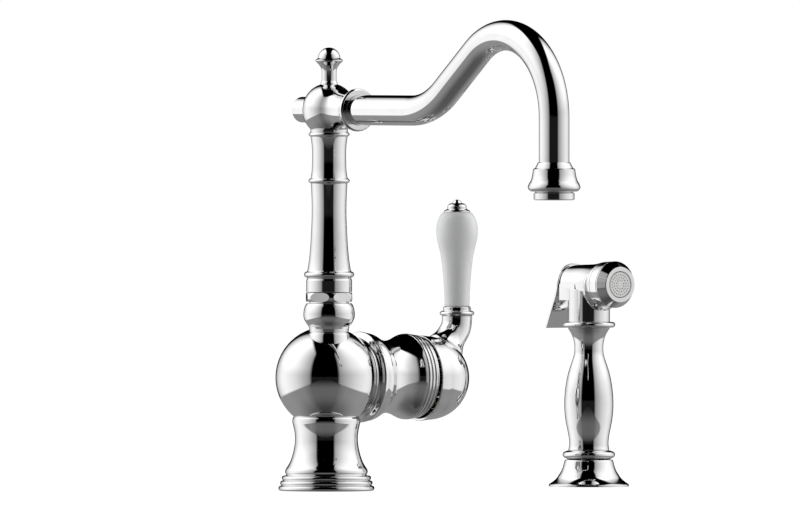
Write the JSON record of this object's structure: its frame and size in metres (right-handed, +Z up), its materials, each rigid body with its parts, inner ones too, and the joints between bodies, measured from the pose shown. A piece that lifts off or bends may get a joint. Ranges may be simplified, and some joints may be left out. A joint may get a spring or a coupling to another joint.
{
  "type": "side spray kitchen faucet",
  "caption": "Single lever kitchen faucet with a turned body, a swivelling swan-neck spout, a porcelain lever grip and a separate trigger side spray in its own holder.",
  "frame": {"origin": "centre of the faucet's foot, in the plane of the deck that the foot and the spray holder stand on", "axes": "+Z up; the spout points along -Y; the valve arm, the lever and the side spray lie towards +X"},
  "size_m": [0.2628, 0.2997, 0.2977],
  "materials": {
    "polished_chrome": "mirror-polished chrome plate on brass",
    "turned_brass": "turned, uncoated",
    "stainless_steel": "drawn",
    "glazed_porcelain": "plain white glaze",
    "lapped_ceramic": "lapped",
    "black_rubber": "moulded",
    "white_plastic": "moulded",
    "black_plastic": "moulded"
  },
  "bodies": {
    "faucet_body": {"base_foot": "polished_chrome", "base_gasket": "black_rubber", "valve_body": "polished_chrome", "hot_inlet": "turned_brass", "cold_inlet": "turned_brass", "spray_outlet": "turned_brass", "diverter_spring": "stainless_steel", "spout_seat": "polished_chrome", "swivel_bushing": "white_plastic", "gland_nut": "polished_chrome", "cartridge_seal": "black_rubber", "cartridge_housing": "white_plastic", "fixed_disc": "lapped_ceramic", "cartridge_nut": "turned_brass", "trim_ring": "polished_chrome", "spray_holder": "polished_chrome", "holder_gasket": "black_rubber", "holder_guide": "black_plastic"},
    "diverter": {"diverter_piston": "white_plastic"},
    "rotor": {"cartridge_rotor": "black_plastic", "lever_pin": "stainless_steel"},
    "disc": {"moving_disc": "lapped_ceramic"},
    "lever": {"cartridge_stem": "stainless_steel", "lever_casting": "polished_chrome", "lever_set_screw": "stainless_steel", "handle_collar": "polished_chrome", "porcelain_grip": "glazed_porcelain", "grip_washer_lower": "black_rubber", "grip_washer_upper": "black_rubber", "grip_cap": "polished_chrome", "grip_tie_rod": "stainless_steel"},
    "spout": {"spout_column": "polished_chrome", "spout_o_ring_lower": "black_rubber", "spout_o_ring_upper": "black_rubber", "spout_hub": "polished_chrome", "finial": "polished_chrome", "rear_plug": "polished_chrome", "spout_collar": "polished_chrome", "spout_tube": "polished_chrome", "aerator_housing": "polished_chrome", "aerator_shell": "polished_chrome", "aerator_screen": "white_plastic", "aerator_washer": "black_rubber"},
    "hose_end": {"hose_coupling": "turned_brass", "coupling_washer": "black_rubber"},
    "handset": {"handle_foot_ring": "polished_chrome", "spray_handle": "polished_chrome", "handle_top_ring": "polished_chrome", "spray_head": "polished_chrome", "trigger_pin": "stainless_steel", "spray_bezel": "polished_chrome", "spray_face": "white_plastic", "face_gasket": "black_rubber", "plunger_spring": "stainless_steel"},
    "plunger": {"spray_plunger": "turned_brass"},
    "trigger": {"spray_trigger": "polished_chrome"}
  },
  "joints": [
    {"name": "spout_swivel", "type": "hinge", "parent": "faucet_body", "child": "spout", "pos_m": [-0.0043, -0.009, 0.12], "axis": [0, 0, 1], "continuous": true},
    {"name": "lever_turn", "type": "hinge", "parent": "faucet_body", "child": "rotor", "pos_m": [0.062, 0, 0.0715], "axis": [1, 0, 0], "range_deg": [-45, 45]},
    {"name": "lever_tilt", "type": "hinge", "parent": "rotor", "child": "lever", "pos_m": [0.062, 0, 0.0715], "axis": [0, 1, 0], "range_deg": [0, 18]},
    {"name": "disc_slide", "type": "slide", "parent": "rotor", "child": "disc", "axis": [0, 0, 1], "range_m": [0, 0.0027]},
    {"name": "diverter_slide", "type": "slide", "parent": "faucet_body", "child": "diverter", "axis": [0, 0, -1], "range_m": [0, 0.003], "stiffness_N_per_m": 40, "springref_m": -0.002, "deforming": ["diverter_spring"]},
    {"name": "spray_lift", "type": "slide", "parent": "faucet_body", "child": "hose_end", "axis": [0, 0, 1], "range_m": [0, 0.15]},
    {"name": "spray_turn", "type": "hinge", "parent": "hose_end", "child": "handset", "pos_m": [0.205, 0, 0.01], "axis": [0, 0, 1], "continuous": true},
    {"name": "trigger_press", "type": "hinge", "parent": "handset", "child": "trigger", "pos_m": [0.205, 0.0115, 0.1354], "axis": [-1, 0, 0], "range_deg": [0, 4.5], "stiffness_Nm_per_rad": 0.3, "springref_deg": -5.73},
    {"name": "plunger_slide", "type": "slide", "parent": "handset", "child": "plunger", "axis": [0, -1, 0], "range_m": [0, 0.0008]}
  ],
  "couplings": [
    {"joint": "disc_slide", "follows": "lever_tilt", "m_per_rad": 0.0075},
    {"joint": "plunger_slide", "follows": "trigger_press", "m_per_rad": 0.0093}
  ]
}
